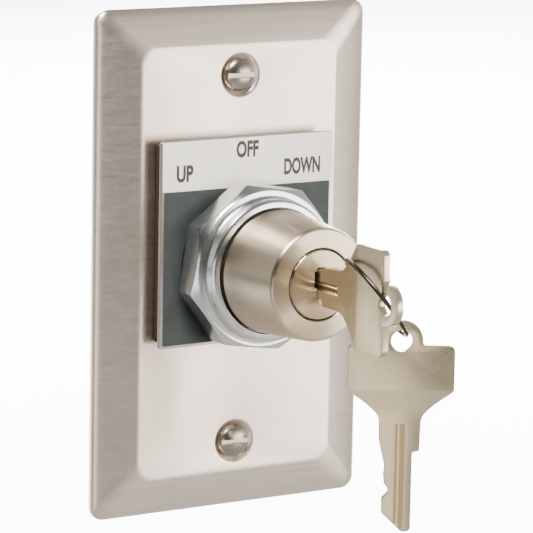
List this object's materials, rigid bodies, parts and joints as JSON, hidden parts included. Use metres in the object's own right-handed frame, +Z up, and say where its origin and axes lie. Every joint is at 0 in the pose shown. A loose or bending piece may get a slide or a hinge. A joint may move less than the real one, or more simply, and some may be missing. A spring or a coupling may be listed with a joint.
{
  "type": "selector key switch",
  "caption": "Key-operated selector switch with UP, OFF and DOWN positions on a single-gang stainless wall plate, with a key in the lock and a spare on a ring.",
  "frame": {"origin": "the point on the wall behind the lock's axis, at the centre of the wall plate's back rim", "axes": "+X to the right of a person facing the switch, +Y into the wall, +Z up; the lock's axis lies along Y"},
  "size_m": [0.0698, 0.0985, 0.1142],
  "materials": {
    "brushed_stainless": "fine horizontal brushing, satin",
    "plated_screw": "bright plated steel",
    "legend_dark": "printed aluminium: off-white band above, dark slate field below, bare metal edge",
    "spacer_black": "matt, moulded",
    "gasket_rubber": "matt rubber",
    "bright_zinc": "bright plated, machined",
    "satin_nickel": "satin nickel, turned",
    "plug_nickel": "worn nickel over brass",
    "die_cast": "as-cast zinc alloy, satin",
    "steel_screw": "zinc-plated steel",
    "cam_plastic": "moulded, semi-matt",
    "block_plastic": "moulded, semi-matt",
    "plunger_plastic": "moulded, semi-gloss",
    "contact_brass": "bright",
    "wafer_brass": "stamped, satin",
    "spring_steel": "bright drawn wire",
    "key_nickel": "nickel silver, satin and handled",
    "ring_steel": "dark spring steel, bright where it rubs"
  },
  "bodies": {
    "operator": {"wall_plate": "brushed_stainless", "plate_screw_top": "plated_screw", "plate_screw_bottom": "plated_screw", "legend_spacer": "spacer_black", "legend_plate": "legend_dark", "front_gasket": "gasket_rubber", "ring_nut": "bright_zinc", "barrel_seal": "gasket_rubber", "lock_barrel": "satin_nickel", "operator_body": "die_cast", "rear_gasket": "gasket_rubber", "rear_cover": "die_cast", "cover_screw_top": "steel_screw", "cover_screw_bottom": "steel_screw", "detent_spring": "spring_steel", "detent_plug": "contact_brass", "up_housing": "block_plastic", "up_cover": "block_plastic", "up_terminal_upper": "contact_brass", "up_terminal_lower": "contact_brass", "up_terminal_screw_upper": "steel_screw", "up_terminal_screw_lower": "steel_screw", "up_block_screw": "steel_screw", "up_return_spring": "spring_steel", "down_housing": "block_plastic", "down_cover": "block_plastic", "down_terminal_upper": "contact_brass", "down_terminal_lower": "contact_brass", "down_terminal_screw_upper": "steel_screw", "down_terminal_screw_lower": "steel_screw", "down_block_screw": "steel_screw", "down_return_spring": "spring_steel"},
    "detent": {"detent_ball": "spring_steel"},
    "plug": {"lock_plug": "plug_nickel", "retaining_clip": "spring_steel", "cam_drum": "cam_plastic", "cam_screw": "plated_screw", "wafer_1": "wafer_brass", "wafer_2": "wafer_brass", "wafer_3": "wafer_brass", "wafer_4": "wafer_brass", "wafer_5": "wafer_brass", "wafer_spring_1": "spring_steel", "wafer_spring_2": "spring_steel", "wafer_spring_3": "spring_steel", "wafer_spring_4": "spring_steel", "wafer_spring_5": "spring_steel"},
    "up_push_rod": {"up_plunger": "plunger_plastic", "up_contact_bridge": "contact_brass"},
    "down_push_rod": {"down_plunger": "plunger_plastic", "down_contact_bridge": "contact_brass"},
    "inserted_key": {"key": "key_nickel"},
    "ring": {"key_ring": "ring_steel"},
    "hanging_key": {"spare_key": "key_nickel"}
  },
  "joints": [
    {"name": "key_turn", "type": "hinge", "parent": "operator", "child": "plug", "pos_m": [0, 0, 0], "axis": [0, -1, 0], "range_deg": [-45, 45]},
    {"name": "key_slide", "type": "slide", "parent": "plug", "child": "inserted_key", "axis": [0, -1, 0], "range_m": [0, 0.026]},
    {"name": "ring_swing", "type": "hinge", "parent": "inserted_key", "child": "ring", "pos_m": [0, -0.065, 0], "axis": [1, 0, 0], "range_deg": [0, 10]},
    {"name": "spare_swing", "type": "hinge", "parent": "ring", "child": "hanging_key", "pos_m": [0.00941, -0.05744, -0.00837], "axis": [-0.3195, -0.9476, 0], "range_deg": [0, 35]},
    {"name": "up_push", "type": "slide", "parent": "operator", "child": "up_push_rod", "axis": [0, 1, 0], "range_m": [-0.0017, 0.0017], "deforming": ["up_return_spring"]},
    {"name": "down_push", "type": "slide", "parent": "operator", "child": "down_push_rod", "axis": [0, 1, 0], "range_m": [-0.0017, 0.0017], "deforming": ["down_return_spring"]},
    {"name": "detent_click", "type": "slide", "parent": "operator", "child": "detent", "axis": [0, 0, 1], "range_m": [0, 0.0007], "stiffness_N_per_m": 120, "springref_m": -0.001}
  ],
  "couplings": [
    {"joint": "up_push", "follows": "key_turn", "m_per_rad": 0.0020372},
    {"joint": "down_push", "follows": "key_turn", "m_per_rad": -0.0020372}
  ]
}
